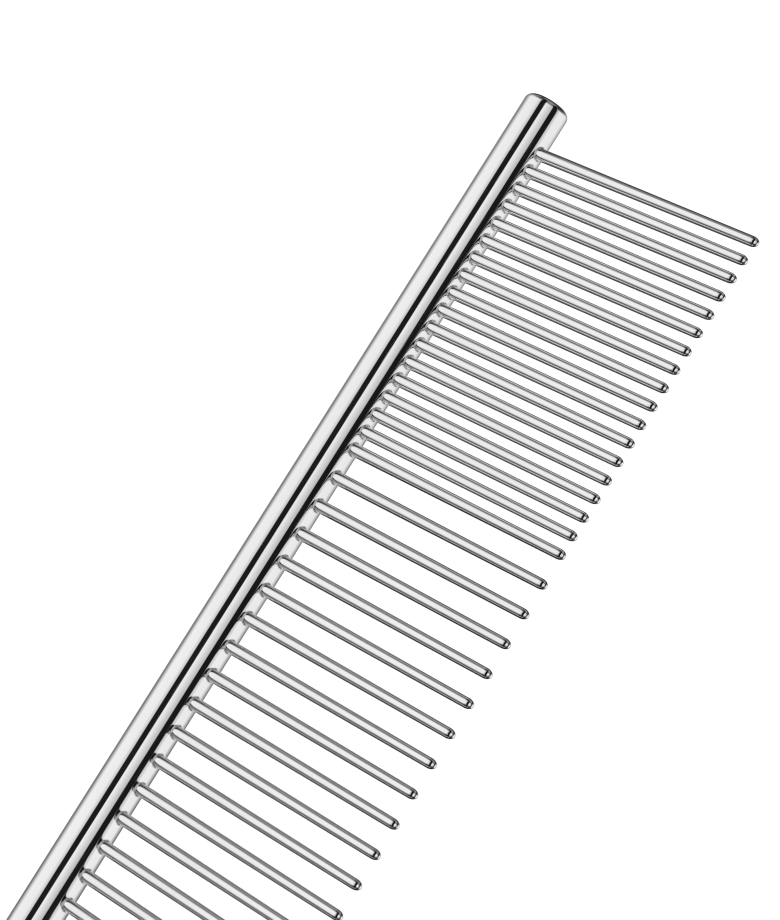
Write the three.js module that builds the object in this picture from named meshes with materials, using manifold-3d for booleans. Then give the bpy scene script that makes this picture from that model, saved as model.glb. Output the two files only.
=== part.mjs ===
// Steel grooming comb: a solid round spine drilled with one row of blind holes, and a straight,
// slightly tapered pin with a bullet-shaped tip standing in each hole. A short run of closely
// spaced pins at the +X end is followed by a long run of widely spaced pins.
// Millimetres. The comb lies on the plane Z = 0, on the spine and on the tips of its pins:
// X runs along the spine, the pins point to -Y, and +Z is up.

import * as THREE from 'three';
import { mergeVertices } from 'three/addons/utils/BufferGeometryUtils.js';
import Module from 'manifold-3d';

// Driving dimensions.
const FINE_COUNT = 18;
const COARSE_COUNT = 41;
const FINE_PITCH = 2.04;
const COARSE_PITCH = 3.244;
const END_MARGIN = 5.225;         // from an end face of the spine to the nearest pin's axis

const SPINE_RADIUS = 2.425;
const END_ROUNDING = 0.735;       // radius that turns the spine's side into its end face

const PIN_REACH = 30.68;          // from the spine's axis to the pin's tip
const PIN_ROOT_RADIUS = 0.66;
const PIN_TIP_RADIUS = 0.53;      // where the taper meets the bullet-shaped nose
const NOSE_LENGTH = 0.85;
const SHANK_DEPTH = 1.3;          // how far the shank goes past the spine's axis, away from the tip

const HOLE_CLEARANCE = 0.04;      // radial gap between a shank and its hole
const HOLE_END_GAP = 0.3;         // gap between the end of a shank and the bottom of its hole

// Facets of the round surfaces.
const SPINE_SIDES = 32;
const ROUNDING_STEPS = 4;
const PIN_SIDES = 12;
const NOSE_STEPS = 3;

const POLISHED_STEEL = { color: 0xc9cbcc, roughness: 0.08, metalness: 1 };
const CUTTER_OVERRUN = 1;

const wasm = await Module();
wasm.setup();

// A geometry as a manifold-3d solid. Only the positions are kept, so shared corners merge.
function toSolid(geometry) {
  const bare = geometry.clone();
  bare.deleteAttribute('normal');
  bare.deleteAttribute('uv');
  const merged = mergeVertices(bare, 1e-4);
  const mesh = new wasm.Mesh({
    numProp: 3,
    vertProperties: new Float32Array(merged.attributes.position.array),
    triVerts: new Uint32Array(merged.index.array),
  });
  return new wasm.Manifold(mesh);
}

// A manifold-3d solid back as a geometry.
function toGeometry(solid) {
  const mesh = solid.getMesh();
  const geometry = new THREE.BufferGeometry();
  geometry.setAttribute('position', new THREE.BufferAttribute(mesh.vertProperties, 3));
  geometry.setIndex(new THREE.BufferAttribute(mesh.triVerts, 1));
  geometry.computeVertexNormals();
  return geometry;
}

// X of every pin's axis in one run, stepping from firstX towards -X.
function runOfPins(name, count, firstX, pitch) {
  return Array.from({ length: count }, (_, i) => ({
    name: `${name}_${String(i + 1).padStart(2, '0')}`,
    x: firstX - i * pitch,
  }));
}

// The round bar, with a flat face and a rounded edge at each end.
function spineBar(length) {
  const half = length / 2;
  const flatRadius = SPINE_RADIUS - END_ROUNDING;
  const upperEnd = [];
  for (let i = 0; i <= ROUNDING_STEPS; i += 1) {
    const turn = (i / ROUNDING_STEPS) * (Math.PI / 2);
    const radius = flatRadius + END_ROUNDING * Math.cos(turn);
    const height = half - END_ROUNDING + END_ROUNDING * Math.sin(turn);
    upperEnd.push(new THREE.Vector2(radius, height));
  }
  const lowerEnd = upperEnd.map((p) => new THREE.Vector2(p.x, -p.y)).reverse();
  const profile = [
    new THREE.Vector2(0, -half),
    ...lowerEnd,
    ...upperEnd,
    new THREE.Vector2(0, half),
  ];
  const bar = new THREE.LatheGeometry(profile, SPINE_SIDES);
  bar.rotateZ(-Math.PI / 2);
  return bar;
}

// The cutter for one blind hole, open towards -Y.
function holeCutter(x) {
  const bottom = SHANK_DEPTH + HOLE_END_GAP;
  const mouth = -(SPINE_RADIUS + CUTTER_OVERRUN);
  const radius = PIN_ROOT_RADIUS + HOLE_CLEARANCE;
  const cutter = new THREE.CylinderGeometry(radius, radius, bottom - mouth, PIN_SIDES);
  cutter.translate(x, (bottom + mouth) / 2, 0);
  return cutter;
}

function drilledSpine(length, pins) {
  const drilled = pins.reduce(
    (bar, pin) => bar.subtract(toSolid(holeCutter(pin.x))),
    toSolid(spineBar(length)),
  );
  return toGeometry(drilled);
}

// One pin, turned about Y with its tip at +Y: a straight shank, a long taper and a bullet nose.
function pinShape() {
  const noseStart = PIN_REACH - NOSE_LENGTH;
  const profile = [
    new THREE.Vector2(0, -SHANK_DEPTH),
    new THREE.Vector2(PIN_ROOT_RADIUS, -SHANK_DEPTH),
    new THREE.Vector2(PIN_ROOT_RADIUS, SPINE_RADIUS),
  ];
  for (let i = 0; i < NOSE_STEPS; i += 1) {
    const turn = (i / NOSE_STEPS) * (Math.PI / 2);
    const radius = PIN_TIP_RADIUS * Math.cos(turn);
    const height = noseStart + NOSE_LENGTH * Math.sin(turn);
    profile.push(new THREE.Vector2(radius, height));
  }
  profile.push(new THREE.Vector2(0, PIN_REACH));
  return new THREE.LatheGeometry(profile, PIN_SIDES);
}

// The lean about X that brings the start of each nose down to the plane the spine lies on.
function restingLean() {
  const noseStart = PIN_REACH - NOSE_LENGTH;
  const lever = Math.hypot(noseStart, PIN_TIP_RADIUS);
  return Math.asin(SPINE_RADIUS / lever) - Math.atan2(PIN_TIP_RADIUS, noseStart);
}

const length = 2 * END_MARGIN + (FINE_COUNT - 1) * FINE_PITCH + COARSE_COUNT * COARSE_PITCH;
const firstFineX = length / 2 - END_MARGIN;
const firstCoarseX = firstFineX - (FINE_COUNT - 1) * FINE_PITCH - COARSE_PITCH;
const pins = [
  ...runOfPins('fine_tooth', FINE_COUNT, firstFineX, FINE_PITCH),
  ...runOfPins('coarse_tooth', COARSE_COUNT, firstCoarseX, COARSE_PITCH),
];

const comb = new THREE.Group();

const spine = new THREE.Mesh(
  drilledSpine(length, pins),
  new THREE.MeshStandardMaterial(POLISHED_STEEL),
);
spine.name = 'spine';
comb.add(spine);

for (const { name, x } of pins) {
  const pin = new THREE.Mesh(pinShape(), new THREE.MeshStandardMaterial(POLISHED_STEEL));
  pin.name = name;
  pin.position.x = x;
  pin.rotation.x = Math.PI;
  comb.add(pin);
}

// The origin is under the middle of the comb's outline.
const lean = restingLean();
comb.rotation.x = lean;
comb.position.z = SPINE_RADIUS;
comb.updateMatrixWorld(true);
const outline = new THREE.Box3().setFromObject(comb, true);
comb.position.y = -(outline.min.y + outline.max.y) / 2;

const part = new THREE.Group();
part.add(comb);

export default part;
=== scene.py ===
"""Looks of the steel grooming comb: a mirror-polished round spine and its tapered pins, on a white table.

Everything is in metres, in the row frame. The comb has its own axes as well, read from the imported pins:
X runs along the spine, `along` points from the spine to the tips, and `above` is square to both.
"""

import math

import bpy
from mathutils import Matrix, Vector


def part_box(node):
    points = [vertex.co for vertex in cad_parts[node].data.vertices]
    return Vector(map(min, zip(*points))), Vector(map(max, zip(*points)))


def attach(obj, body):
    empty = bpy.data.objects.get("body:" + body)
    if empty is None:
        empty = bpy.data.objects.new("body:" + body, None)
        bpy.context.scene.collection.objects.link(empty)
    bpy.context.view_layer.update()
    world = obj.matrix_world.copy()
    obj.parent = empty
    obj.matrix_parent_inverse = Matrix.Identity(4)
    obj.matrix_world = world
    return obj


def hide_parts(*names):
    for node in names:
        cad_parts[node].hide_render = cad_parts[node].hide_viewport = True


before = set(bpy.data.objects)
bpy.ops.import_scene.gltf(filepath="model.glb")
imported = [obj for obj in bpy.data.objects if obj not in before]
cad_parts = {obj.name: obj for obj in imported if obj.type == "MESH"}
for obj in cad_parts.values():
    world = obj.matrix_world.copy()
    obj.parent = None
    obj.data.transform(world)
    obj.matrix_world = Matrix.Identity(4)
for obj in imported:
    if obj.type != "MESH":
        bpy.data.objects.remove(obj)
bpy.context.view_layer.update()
MM = 0.001

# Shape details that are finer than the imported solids.
BRAZE_RADIUS = 0.2 * MM          # concave fillet where a pin stands in the spine
LIP_GAP = 0.004 * MM             # hairline between the fillet's edge and the pin
HOLE_CLEARANCE = 0.04 * MM       # round a pin's shank
HOLE_END_GAP = 0.3 * MM          # below the shank
SHANK_CHAMFER = 0.1 * MM
INSET = 0.004 * MM               # keeps the true rounds inside the faceted solids' box
END_ROUNDING_SHARE = 0.303       # of the spine's radius
PATCH_HALF_ANGLE = math.radians(35)
PATCH_EASING = 1.3               # above 1, the patch's rings crowd towards the fillet
CHAMFER_RISE = -0.7              # the height share of the normal on the shank's chamfer

# Facets.
SIDE_STEPS = 12                  # along each side of the patch round a pin's root
PATCH_RINGS = 5
FILLET_STEPS = 7
BACK_STEPS = 64                  # round the part of the spine that has no roots
END_STEPS = 12
TOOTH_SIDES = 40
BODY_STEPS = 10
NOSE_STEPS = 14

# The view, in the comb's own axes, solved from the photo's perspective by another program.
VIEW_TURN = math.radians(10.2504)
VIEW_DOWN = math.radians(50.6377)
VIEW_ROLL = math.radians(-49.9613)
VIEW_FROM = Vector((-34.391, 101.453, 121.478))   # from the first pin, in steps of the close spacing
LENS_MM = 129.44
SENSOR_MM = 36
FILM_FILTER = 1.1                # pixels; the photo is sharper than Blender's default


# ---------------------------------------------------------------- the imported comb

def farthest_from_spine(node, middle):
    """The tip of a pin: its vertex farthest from the spine's axis."""
    points = [v.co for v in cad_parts[node].data.vertices]
    return max(points, key=lambda p: math.hypot(p.y - middle.y, p.z - middle.z)).copy()


class Comb:
    """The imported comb's sizes and its own axes."""

    def __init__(self):
        low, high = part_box("spine")
        self.middle = (low + high) / 2
        self.half_length = (high.x - low.x) / 2
        self.radius = min(high.y - low.y, high.z - low.z) / 2
        self.fine = sorted(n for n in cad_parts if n.startswith("fine_tooth"))
        self.coarse = sorted(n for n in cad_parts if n.startswith("coarse_tooth"))
        self.tips = {n: farthest_from_spine(n, self.middle) for n in self.fine + self.coarse}
        first = self.tips[self.fine[0]]
        self.fine_pitch = first.x - self.tips[self.fine[1]].x
        self.along = (first - Vector((first.x, self.middle.y, self.middle.z))).normalized()
        self.above = self.along.cross(Vector((1, 0, 0))).normalized()

    def point(self, x, along, above):
        """The row-frame place of a point given in the comb's own axes, from the spine's middle."""
        return self.middle + Vector((x - self.middle.x, 0, 0)) + self.along * along + self.above * above

    def direction(self, x, along, above):
        return Vector((x, 0, 0)) + self.along * along + self.above * above

    def outline(self, node):
        """The pin's rings as (distance from the spine's axis, radius), from its shank to its tip."""
        axis_x = self.tips[node].x
        rings = set()
        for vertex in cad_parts[node].data.vertices:
            offset = vertex.co - Vector((axis_x, self.middle.y, self.middle.z))
            height = offset.dot(self.along)
            radius = (offset - self.along * height).length
            rings.add((round(height, 6), round(radius, 6)))
        return sorted(rings)


comb = Comb()


class Tooth:
    """The measures of one pin."""

    def __init__(self, node):
        rings = comb.outline(node)
        self.node = node
        self.x = comb.tips[node].x
        self.reach = rings[-1][0] - INSET
        self.shank_end = rings[0][0]
        self.root_radius = max(radius for _, radius in rings)
        narrower = [ring for ring in rings if 0 < ring[1] < 0.99 * self.root_radius]
        self.nose_start = narrower[0][0]
        self.tip_radius = narrower[0][1] - INSET


teeth = [Tooth(node) for node in comb.fine + comb.coarse]


# ---------------------------------------------------------------- mesh helpers

class Shape:
    """Vertices, faces and the exact surface normal at each corner of each face, in the comb's own axes.
    Each vertex also has a share of braze: 1 on a fillet, 0 on polished steel."""

    def __init__(self):
        self.points = []
        self.braze = []
        self.faces = []
        self.normals = []

    def ring(self, points, braze=0.0):
        start = len(self.points)
        self.points.extend(points)
        self.braze.extend([braze] * len(points))
        return list(range(start, len(self.points)))

    def face(self, corners, normals):
        self.faces.append(corners)
        self.normals.append(normals)

    def band(self, lower, upper, lower_normals, upper_normals, closed=True):
        """Quads between two rings of the same count."""
        count = len(lower)
        for i in range(count if closed else count - 1):
            j = (i + 1) % count
            self.face(
                [lower[i], lower[j], upper[j], upper[i]],
                [lower_normals[i], lower_normals[j], upper_normals[j], upper_normals[i]],
            )

    def cap(self, ring, normal):
        self.face(list(ring), [normal] * len(ring))

    def make(self, name):
        """The mesh object, with every face turned to agree with its normals."""
        places = [comb.point(*p) for p in self.points]
        faces, corner_normals = [], []
        for corners, normals in zip(self.faces, self.normals):
            turned = [comb.direction(*n).normalized() for n in normals]
            a, b, c = (places[corners[i]] for i in (0, 1, 2))
            flat = (b - a).cross(c - a)
            if flat.length < 1e-16 and len(corners) > 3:
                flat = (c - a).cross(places[corners[3]] - a)
            if flat.dot(sum(turned, Vector())) < 0:
                corners, turned = corners[::-1], turned[::-1]
            faces.append(corners)
            corner_normals.extend(turned)
        mesh = bpy.data.meshes.new(name)
        mesh.from_pydata(places, [], faces)
        mesh.update()
        mesh.polygons.foreach_set("use_smooth", [True] * len(mesh.polygons))
        mesh.normals_split_custom_set(corner_normals)
        if any(self.braze):
            mesh.attributes.new("braze", "FLOAT", "POINT").data.foreach_set("value", self.braze)
        piece = bpy.data.objects.new(name, mesh)
        bpy.context.scene.collection.objects.link(piece)
        return piece


def between(a, b, share):
    return tuple(p + (q - p) * share for p, q in zip(a, b))


# ---------------------------------------------------------------- the spine

def on_spine(x, turn):
    """A point of the spine's side and its normal; turn is counted from the pins' side towards `above`."""
    normal = (0, math.cos(turn), math.sin(turn))
    return (x, comb.radius * normal[1], comb.radius * normal[2]), normal


def arc(start, end, count):
    """Unit vectors along the short arc from start to end, both ends included."""
    a, b = Vector(start).normalized(), Vector(end).normalized()
    angle = a.angle(b)
    return [
        (a * math.sin(angle * (1 - i / count)) + b * math.sin(angle * i / count)) / math.sin(angle)
        for i in range(count + 1)
    ]


def root_section(tooth, turn):
    """The fillet's points and normals in the plane at `turn` round the pin, from the spine up to the pin."""
    reach = tooth.root_radius + LIP_GAP + BRAZE_RADIUS
    out = Vector((math.cos(turn), 0, math.sin(turn)))
    sideways = reach * out.z
    centre = Vector((reach * out.x, math.sqrt((comb.radius + BRAZE_RADIUS) ** 2 - sideways**2), sideways))
    to_spine = -Vector((0, centre.y, centre.z)).normalized()
    section = []
    for toward in arc(to_spine, -out, FILLET_STEPS):
        place = centre + toward * BRAZE_RADIUS
        section.append(((tooth.x + place.x, place.y, place.z), tuple(-toward)))
    return section


def square_edge(low_x, high_x):
    """The patch's edge as (x, turn), once round, SIDE_STEPS to a side."""
    corners = [
        (high_x, -PATCH_HALF_ANGLE),
        (high_x, PATCH_HALF_ANGLE),
        (low_x, PATCH_HALF_ANGLE),
        (low_x, -PATCH_HALF_ANGLE),
    ]
    edge = []
    for start, end in zip(corners, corners[1:] + corners[:1]):
        edge.extend(between(start, end, i / SIDE_STEPS) for i in range(SIDE_STEPS))
    return edge


class SpineGrid:
    """Shares the vertices that neighbouring parts of the spine's side have in common."""

    def __init__(self, shape):
        self.shape = shape
        self.known = {}

    def vertex(self, x, turn):
        key = (round(x * 1e8), round(math.sin(turn) * 1e6), round(math.cos(turn) * 1e6))
        if key not in self.known:
            self.known[key] = self.shape.ring([on_spine(x, turn)[0]])[0]
        return self.known[key], on_spine(x, turn)[1]

    def row(self, places):
        pairs = [self.vertex(x, turn) for x, turn in places]
        return [p[0] for p in pairs], [p[1] for p in pairs]


def add_root(shape, grid, tooth, low_x, high_x):
    """The patch of the spine round one pin: its side, the fillet, and the drilled hole."""
    edge = square_edge(low_x, high_x)
    count = len(edge)
    turns = [2 * math.pi * i / count - math.pi / 4 for i in range(count)]
    sections = [root_section(tooth, turn) for turn in turns]
    foot = [(s[0][0][0], math.atan2(s[0][0][2], s[0][0][1])) for s in sections]

    outer, outer_normals = grid.row(edge)
    for step in range(1, PATCH_RINGS + 1):
        share = 1 - (1 - step / PATCH_RINGS) ** PATCH_EASING
        places = [on_spine(*between(e, f, share)) for e, f in zip(edge, foot)]
        ring, normals = shape.ring([p[0] for p in places]), [p[1] for p in places]
        shape.band(outer, ring, outer_normals, normals)
        outer, outer_normals = ring, normals
    for step in range(1, FILLET_STEPS + 1):
        ring = shape.ring([s[step][0] for s in sections], braze=1.0)
        normals = [s[step][1] for s in sections]
        shape.band(outer, ring, outer_normals, normals)
        outer, outer_normals = ring, normals

    inward = [(-math.cos(turn), 0, -math.sin(turn)) for turn in turns]
    lip = tooth.root_radius + LIP_GAP
    bore = tooth.root_radius + HOLE_CLEARANCE
    heights = [s[-1][0][1] for s in sections]
    bottom = [tooth.shank_end - HOLE_END_GAP] * count
    for radius, places in ((lip, [h - BRAZE_RADIUS / 2 for h in heights]),
                           (bore, [h - BRAZE_RADIUS for h in heights]),
                           (bore, bottom)):
        ring = shape.ring([
            (tooth.x + radius * math.cos(turn), height, radius * math.sin(turn))
            for turn, height in zip(turns, places)
        ])
        shape.band(outer, ring, inward, inward)
        outer = ring
    shape.cap(outer, (0, 1, 0))


def patch_spans():
    """(tooth, low x, high x) of each patch: half-way to the neighbours, and as far again at the ends."""
    spans = []
    for i, tooth in enumerate(teeth):
        ahead = teeth[i - 1].x - tooth.x if i > 0 else tooth.x - teeth[i + 1].x
        behind = tooth.x - teeth[i + 1].x if i + 1 < len(teeth) else teeth[i - 1].x - tooth.x
        spans.append((tooth, tooth.x - behind / 2, tooth.x + ahead / 2))
    return spans


def add_end(shape, side, ring, ring_normals, turns):
    """The rounded edge and the flat face at one end of the spine. side is +1 at the fine end."""
    rounding = END_ROUNDING_SHARE * comb.radius
    start = comb.middle.x + side * (comb.half_length - rounding)
    for step in range(END_STEPS + 1):
        lean = math.pi / 2 * step / END_STEPS
        radius = comb.radius - rounding * (1 - math.cos(lean))
        x = start + side * rounding * math.sin(lean)
        normals = [(side * math.sin(lean), math.cos(lean) * math.cos(t), math.cos(lean) * math.sin(t))
                   for t in turns]
        new = shape.ring([(x, radius * math.cos(t), radius * math.sin(t)) for t in turns])
        shape.band(ring, new, ring_normals, normals)
        ring, ring_normals = new, normals
    shape.cap(ring, (side, 0, 0))


def build_spine():
    shape = Shape()
    grid = SpineGrid(shape)
    spans = patch_spans()
    for tooth, low_x, high_x in spans:
        add_root(shape, grid, tooth, low_x, high_x)

    # The rest of the side, behind the patches, in rows that share the patches' edges.
    back = [PATCH_HALF_ANGLE + (2 * math.pi - 2 * PATCH_HALF_ANGLE) * i / BACK_STEPS
            for i in range(BACK_STEPS + 1)]
    rows = []
    for _, low_x, high_x in spans:
        rows.extend(high_x + (low_x - high_x) * i / SIDE_STEPS for i in range(SIDE_STEPS))
    rows.append(spans[-1][1])
    for upper_x, lower_x in zip(rows, rows[1:]):
        upper, upper_normals = grid.row([(upper_x, t) for t in back])
        lower, lower_normals = grid.row([(lower_x, t) for t in back])
        shape.band(upper, lower, upper_normals, lower_normals, closed=False)

    front = [PATCH_HALF_ANGLE * (2 * i / SIDE_STEPS - 1) for i in range(SIDE_STEPS)]
    turns = front + back[:-1]
    for side, x in ((1, rows[0]), (-1, rows[-1])):
        ring, normals = grid.row([(x, t) for t in turns])
        add_end(shape, side, ring, normals, turns)
    return shape.make("polished_spine")


# ---------------------------------------------------------------- the teeth

def tooth_outline(tooth):
    """(height, radius, normal's height share) from the end of the shank to the tip."""
    taper = (tooth.root_radius - tooth.tip_radius) / (tooth.nose_start - comb.radius)
    outline = [
        (tooth.shank_end, tooth.root_radius - SHANK_CHAMFER, CHAMFER_RISE),
        (tooth.shank_end + SHANK_CHAMFER, tooth.root_radius, 0),
    ]
    for i in range(BODY_STEPS + 1):
        share = i / BODY_STEPS
        height = comb.radius + (tooth.nose_start - comb.radius) * share
        radius = tooth.root_radius + (tooth.tip_radius - tooth.root_radius) * share
        outline.append((height, radius, taper))
    nose = tooth.reach - tooth.nose_start
    for i in range(1, NOSE_STEPS):
        turn = math.pi / 2 * i / NOSE_STEPS
        height = tooth.nose_start + nose * math.sin(turn)
        radius = tooth.tip_radius * math.cos(turn)
        steepness = tooth.tip_radius / nose * math.tan(turn)
        outline.append((height, radius, max(taper, steepness / math.hypot(1, steepness))))
    return outline


def build_tooth(tooth):
    shape = Shape()
    turns = [2 * math.pi * i / TOOTH_SIDES for i in range(TOOTH_SIDES)]
    ring, ring_normals = None, None
    for height, radius, rise in tooth_outline(tooth):
        spread = math.sqrt(1 - rise * rise)
        normals = [(spread * math.cos(t), rise, spread * math.sin(t)) for t in turns]
        new = shape.ring([(tooth.x + radius * math.cos(t), height, radius * math.sin(t)) for t in turns])
        if ring is None:
            shape.cap(new, (0, -1, 0))
        else:
            shape.band(ring, new, ring_normals, normals)
        ring, ring_normals = new, normals
    tip = shape.ring([(tooth.x, tooth.reach, 0)])[0]
    for i in range(TOOTH_SIDES):
        j = (i + 1) % TOOTH_SIDES
        shape.face([ring[i], ring[j], tip], [ring_normals[i], ring_normals[j], (0, 1, 0)])
    return shape.make("polished_" + tooth.node)


# ---------------------------------------------------------------- materials

STEEL_DARK = (0.908, 0.908, 0.908, 1)
STEEL_BRIGHT = (0.945, 0.944, 0.942, 1)
SPINE_GRAIN = (60, 9000, 9000)   # the spine is polished along X, the pins along their own length
TOOTH_GRAIN = (9000, 120, 9000)
POLISH_ROUGHNESS = 0.015
STREAK_ROUGHNESS = 0.02          # added along the polishing marks
SMEAR_ROUGHNESS = 0.02           # added where the steel has been handled
SCRATCH_ROUGHNESS = 0.12
BRAZE_ROUGHNESS = 0.3            # the fillets are satin, not polished
BRAZE_DULLNESS = 0.2
SCRATCH_GRAIN = (250, 14000, 14000)
SCRATCH_TURNS = ((0.3, 0.2, 0.5), (1.1, -0.3, -0.9))
SCRATCH_DEPTH = 1.5              # beside the polishing marks' height of 1
SMEAR_SCALE = 160
TONE_SCALE = 45
# Where each noise starts to show, and where it shows in full.
SCRATCH_SPAN = (0.72, 0.8)
TONE_SPAN = (0.3, 0.7)
STREAK_SPAN = (0.45, 0.75)
SMEAR_SPAN = (0.5, 0.75)
BUMP_STRENGTH = 0.02
BUMP_DISTANCE = 0.02 * MM


class Nodes:
    """Short calls for making a node tree."""

    def __init__(self, tree):
        self.tree = tree
        self.tree.nodes.clear()

    def add(self, kind, **settings):
        node = self.tree.nodes.new(kind)
        for name, value in settings.items():
            setattr(node, name, value)
        return node

    def link(self, source, target):
        self.tree.links.new(source, target)

    def value(self, source, target):
        """Joins an output to an input, or sets the input when source is a plain number."""
        if hasattr(source, "links"):
            self.link(source, target)
        else:
            target.default_value = source

    def math(self, operation, *inputs):
        node = self.add("ShaderNodeMath", operation=operation)
        for source, target in zip(inputs, node.inputs):
            self.value(source, target)
        return node.outputs[0]

    def span(self, source, low, high, to_low, to_high, smooth=True):
        """Maps low..high to to_low..to_high."""
        node = self.add("ShaderNodeMapRange")
        node.interpolation_type = "SMOOTHSTEP" if smooth else "LINEAR"
        for value, target in zip((source, low, high, to_low, to_high), node.inputs):
            self.value(value, target)
        return node.outputs[0]

    def noise(self, coordinates, scale, detail=2, rough=0.5):
        node = self.add("ShaderNodeTexNoise")
        self.link(coordinates, node.inputs["Vector"])
        node.inputs["Scale"].default_value = scale
        node.inputs["Detail"].default_value = detail
        node.inputs["Roughness"].default_value = rough
        return node.outputs["Fac"]


def scratches(nodes, place, turn):
    """Sparse hair-thin scratches, all turned one way: 1 on a scratch, 0 between them."""
    laid = nodes.add("ShaderNodeMapping")
    nodes.link(place, laid.inputs["Vector"])
    laid.inputs["Rotation"].default_value = turn
    laid.inputs["Scale"].default_value = SCRATCH_GRAIN
    return nodes.span(nodes.noise(laid.outputs["Vector"], 1, detail=0), *SCRATCH_SPAN, 0, 1)


def polished_steel(name, grain, brazed):
    """Mirror-polished steel with polishing marks, stray scratches and smears; satin on the fillets if brazed.
    grain stretches the polishing marks: a scale for each of X, Y and Z."""
    material = bpy.data.materials.new(name)
    material.use_nodes = True
    nodes = Nodes(material.node_tree)
    output = nodes.add("ShaderNodeOutputMaterial")
    shader = nodes.add("ShaderNodeBsdfPrincipled")
    nodes.link(shader.outputs["BSDF"], output.inputs["Surface"])
    place = nodes.add("ShaderNodeTexCoord").outputs["Object"]
    stretch = nodes.add("ShaderNodeMapping")
    nodes.link(place, stretch.inputs["Vector"])
    stretch.inputs["Scale"].default_value = grain
    hairlines = nodes.noise(stretch.outputs["Vector"], 1, detail=3, rough=0.6)
    smears = nodes.noise(place, SMEAR_SCALE, detail=4, rough=0.6)
    tone = nodes.noise(place, TONE_SCALE, detail=3)
    marks = nodes.math("MAXIMUM", *(scratches(nodes, place, turn) for turn in SCRATCH_TURNS))

    colour = nodes.add("ShaderNodeMix", data_type="RGBA")
    nodes.link(nodes.span(tone, *TONE_SPAN, 0, 1), colour.inputs["Factor"])
    colour.inputs["A"].default_value = STEEL_DARK
    colour.inputs["B"].default_value = STEEL_BRIGHT
    nodes.link(colour.outputs["Result"], shader.inputs["Base Color"])
    shader.inputs["Metallic"].default_value = 1

    streaks = nodes.span(hairlines, *STREAK_SPAN, 0, STREAK_ROUGHNESS)
    patches = nodes.span(smears, *SMEAR_SPAN, 0, SMEAR_ROUGHNESS)
    worn = nodes.math("ADD", streaks, patches)
    worn = nodes.math("ADD", worn, nodes.math("MULTIPLY", marks, SCRATCH_ROUGHNESS))
    if brazed:
        braze = nodes.add("ShaderNodeAttribute", attribute_name="braze").outputs["Fac"]
        nodes.link(nodes.span(braze, 0, 1, 1, 1 - BRAZE_DULLNESS), shader.inputs["Metallic"])
        worn = nodes.math("ADD", worn, nodes.math("MULTIPLY", braze, BRAZE_ROUGHNESS))
    nodes.link(nodes.math("ADD", worn, POLISH_ROUGHNESS), shader.inputs["Roughness"])

    height = nodes.math("SUBTRACT", hairlines, nodes.math("MULTIPLY", marks, SCRATCH_DEPTH))
    bump = nodes.add("ShaderNodeBump")
    bump.inputs["Strength"].default_value = BUMP_STRENGTH
    bump.inputs["Distance"].default_value = BUMP_DISTANCE
    nodes.link(height, bump.inputs["Height"])
    nodes.link(bump.outputs["Normal"], shader.inputs["Normal"])
    return material


# ---------------------------------------------------------------- studio

# The studio as a polished bar sees it. Angles are in degrees round the spine: 0 is the way the pins point,
# 90 is above the comb, 180 is behind the spine and -90 is below it. Brightness is in linear light.
# Another program fitted the panels and lamps to the photo's reflections. The panels' stops were then cut
# down to the few (angle, brightness) pairs here, and the rest was rounded or adjusted.
OVER = ((93, 0.62), (112, 0.89), (157, 0.92), (180, 0.43))   # the big soft panel over and behind the spine
BELOW = ((-170, 0.2), (-145, 0.31), (-102, 0.24))            # the pale table, in the comb's shade
FRONT = ((-62, 0.87), (-20, 0.9), (-1.4, 0.55))              # the soft panel low in front of the pins
STRIP = ((26.7, 0.52), (66.7, 0.93))                         # a narrower panel between two dark gaps
GAP_HIGH = 0.008                 # between the strip and the panel over the spine
GAP_LOW = 0.006                  # between the panel in front and the strip
EDGE_BLUR = 2.5                  # how many degrees an edge takes to fade
TABLE = (-165, -95)              # between these angles the pale table is seen, brighter towards +X
TABLE_TILT_X = (-0.33, 0.4)      # X of the direction where its brightness starts and stops rising
TABLE_TILT_LIGHT = (0.22, 1.5)   # what its brightness is multiplied by there
ROOM = 0.004                     # the dark room beyond the panels
REACH_ALONG = 0.595              # X of the direction to the panels' ends, towards +X and -X
SHIFT_ALONG = 0.02               # they stand this much off centre, towards -X
FADE_ALONG = 16.5                # how sharply they end there
SPILL = 0.03                     # the share of their light that the walls past their ends give back
SIDE_GLOW = 0.12                 # the light straight off either end of the spine
SIDE_START = 0.92                # X of the direction where that light starts


class Lamp:
    """A small soft lamp: X of the direction to it, and its angle round the spine and radius in degrees."""

    def __init__(self, x, turn, light, radius):
        self.turn = math.radians(turn)
        self.radius = math.radians(radius)
        self.x = x
        self.light = light

    def direction(self):
        level = math.sqrt(1 - self.x * self.x)
        return comb.direction(self.x, level * math.cos(self.turn), level * math.sin(self.turn))


LAMPS = (
    Lamp(x=0.904, turn=43, light=0.23, radius=21.6),
    Lamp(x=-0.72, turn=43, light=0.23, radius=21.6),
    Lamp(x=0.78, turn=163, light=0.13, radius=21.6),
    Lamp(x=-0.27, turn=9, light=0.42, radius=13),
)


def rising_edge(stop, gap):
    """Out of a dark gap into a panel, at the panel's first stop."""
    angle, light = stop
    return [(angle - EDGE_BLUR / 2, gap), (angle + EDGE_BLUR / 2, light)]


def falling_edge(stop, gap):
    """Out of a panel into a dark gap, at the panel's last stop."""
    angle, light = stop
    return [(angle - EDGE_BLUR / 2, light), (angle + EDGE_BLUR / 2, gap)]


def panel_stops():
    """(angle, brightness) all the way round, with each panel's edges faded."""
    stops = [(-180, OVER[-1][1]), *BELOW, *FRONT[:-1]]
    stops += falling_edge(FRONT[-1], GAP_LOW)
    stops += rising_edge(STRIP[0], GAP_LOW)
    stops += falling_edge(STRIP[-1], GAP_HIGH)
    stops += rising_edge(OVER[0], GAP_HIGH)
    stops += OVER[1:]
    return stops


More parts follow.
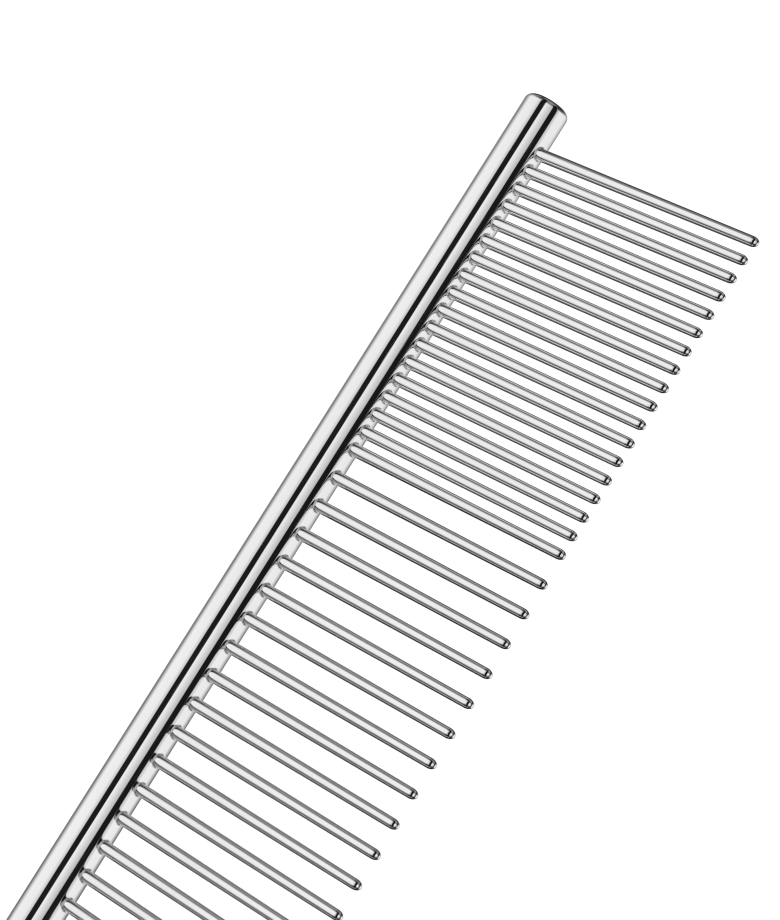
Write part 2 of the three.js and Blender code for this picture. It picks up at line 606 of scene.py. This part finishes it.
def studio_world():
    """Soft panels round the comb with dark gaps between them, and lamps. The camera sees plain white."""
    world = bpy.data.worlds.new("studio")
    bpy.context.scene.world = world
    world.use_nodes = True
    nodes = Nodes(world.node_tree)
    output = nodes.add("ShaderNodeOutputWorld")
    way = nodes.add("ShaderNodeTexCoord").outputs["Generated"]

    def share(axis):
        node = nodes.add("ShaderNodeVectorMath", operation="DOT_PRODUCT")
        nodes.link(way, node.inputs[0])
        node.inputs[1].default_value = axis
        return node.outputs["Value"]

    turn = nodes.math("ARCTAN2", share(comb.above), share(comb.along))
    round_share = nodes.math("ADD", nodes.math("DIVIDE", turn, 2 * math.pi), 0.5)
    ramp = nodes.add("ShaderNodeValToRGB")
    elements = ramp.color_ramp.elements
    elements.remove(elements[-1])
    for i, (degrees, light) in enumerate(panel_stops()):
        element = elements[0] if i == 0 else elements.new((degrees + 180) / 360)
        element.position = (degrees + 180) / 360
        element.color = (light, light, light, 1 if TABLE[0] < degrees < TABLE[1] else 0)
    nodes.link(round_share, ramp.inputs["Fac"])

    x_share = share(Vector((1, 0, 0)))
    tilt = nodes.math("SUBTRACT", nodes.span(x_share, *TABLE_TILT_X, *TABLE_TILT_LIGHT), 1)
    tilt = nodes.math("ADD", nodes.math("MULTIPLY", tilt, ramp.outputs["Alpha"]), 1)
    panels = nodes.math("MULTIPLY", ramp.outputs["Color"], tilt)
    sideways = nodes.math("ABSOLUTE", nodes.math("ADD", x_share, SHIFT_ALONG))
    past = nodes.math("MULTIPLY", nodes.math("SUBTRACT", sideways, REACH_ALONG), FADE_ALONG)
    lit = nodes.math("DIVIDE", 1 - SPILL, nodes.math("ADD", nodes.math("EXPONENT", past), 1))
    lit = nodes.math("ADD", lit, SPILL)
    studio = nodes.math("ADD", nodes.math("MULTIPLY", panels, lit), ROOM)
    studio = nodes.math("ADD", studio, nodes.span(sideways, SIDE_START, 1, 0, SIDE_GLOW))
    for lamp in LAMPS:
        spot = nodes.span(share(lamp.direction()), math.cos(lamp.radius), 1, 0, lamp.light)
        studio = nodes.math("ADD", studio, spot)

    backdrop = nodes.add("ShaderNodeBackground")
    backdrop.inputs["Color"].default_value = (1, 1, 1, 1)
    glow = nodes.add("ShaderNodeBackground")
    glow.inputs["Color"].default_value = (1, 1, 1, 1)
    nodes.link(studio, glow.inputs["Strength"])
    seen = nodes.add("ShaderNodeLightPath").outputs["Is Camera Ray"]
    mix = nodes.add("ShaderNodeMixShader")
    nodes.link(seen, mix.inputs["Fac"])
    nodes.link(glow.outputs["Background"], mix.inputs[1])
    nodes.link(backdrop.outputs["Background"], mix.inputs[2])
    nodes.link(mix.outputs["Shader"], output.inputs["Surface"])


TABLE_HALF_SIZE = 4.0            # metres
TABLE_COLOUR = (0.3, 0.3, 0.3, 1)
TABLE_ROUGHNESS = 0.9
TABLE_EMISSION = 0.93


def light_table():
    """The pale floor: a backlit white table. Mirrors see the studio's panels in its place."""
    half = TABLE_HALF_SIZE
    mesh = bpy.data.meshes.new("table")
    corners = [(-half, -half, 0), (half, -half, 0), (half, half, 0), (-half, half, 0)]
    mesh.from_pydata(corners, [], [(0, 1, 2, 3)])
    table = bpy.data.objects.new("table", mesh)
    bpy.context.scene.collection.objects.link(table)
    table.visible_glossy = False
    material = bpy.data.materials.new("white_table")
    material.use_nodes = True
    nodes = Nodes(material.node_tree)
    output = nodes.add("ShaderNodeOutputMaterial")
    shader = nodes.add("ShaderNodeBsdfPrincipled")
    shader.inputs["Base Color"].default_value = TABLE_COLOUR
    shader.inputs["Roughness"].default_value = TABLE_ROUGHNESS
    shader.inputs["Emission Color"].default_value = (1, 1, 1, 1)
    shader.inputs["Emission Strength"].default_value = TABLE_EMISSION
    nodes.link(shader.outputs["BSDF"], output.inputs["Surface"])
    mesh.materials.append(material)


def camera():
    data = bpy.data.cameras.new("camera")
    data.lens = LENS_MM
    data.sensor_width = SENSOR_MM
    data.clip_start = 0.01
    data.clip_end = 100
    eye = bpy.data.objects.new("camera", data)
    bpy.context.scene.collection.objects.link(eye)
    level = math.cos(VIEW_DOWN)
    ahead = Vector((math.sin(VIEW_TURN) * level, -math.cos(VIEW_TURN) * level, -math.sin(VIEW_DOWN)))
    ahead = comb.direction(*ahead)
    right = ahead.cross(comb.above).normalized()
    up = right.cross(ahead)
    rolled_right = right * math.cos(VIEW_ROLL) + up * math.sin(VIEW_ROLL)
    rolled_up = up * math.cos(VIEW_ROLL) - right * math.sin(VIEW_ROLL)
    offset = VIEW_FROM * comb.fine_pitch
    place = comb.point(teeth[0].x + offset.x, offset.y, offset.z)
    turn = Matrix((rolled_right, rolled_up, -ahead)).transposed()
    eye.matrix_world = Matrix.Translation(place) @ turn.to_4x4()
    bpy.context.scene.camera = eye


# ---------------------------------------------------------------- putting it together

bpy.context.scene.view_settings.view_transform = "Standard"
bpy.context.scene.cycles.filter_width = FILM_FILTER

spine_steel = polished_steel("spine_steel", SPINE_GRAIN, brazed=True)
tooth_steel = polished_steel("tooth_steel", TOOTH_GRAIN, brazed=False)

spine = build_spine()
spine.data.materials.append(spine_steel)
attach(spine, "root")
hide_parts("spine")

for tooth in teeth:
    piece = build_tooth(tooth)
    piece.data.materials.append(tooth_steel)
    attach(piece, "root")
    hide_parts(tooth.node)

studio_world()
light_table()
camera()
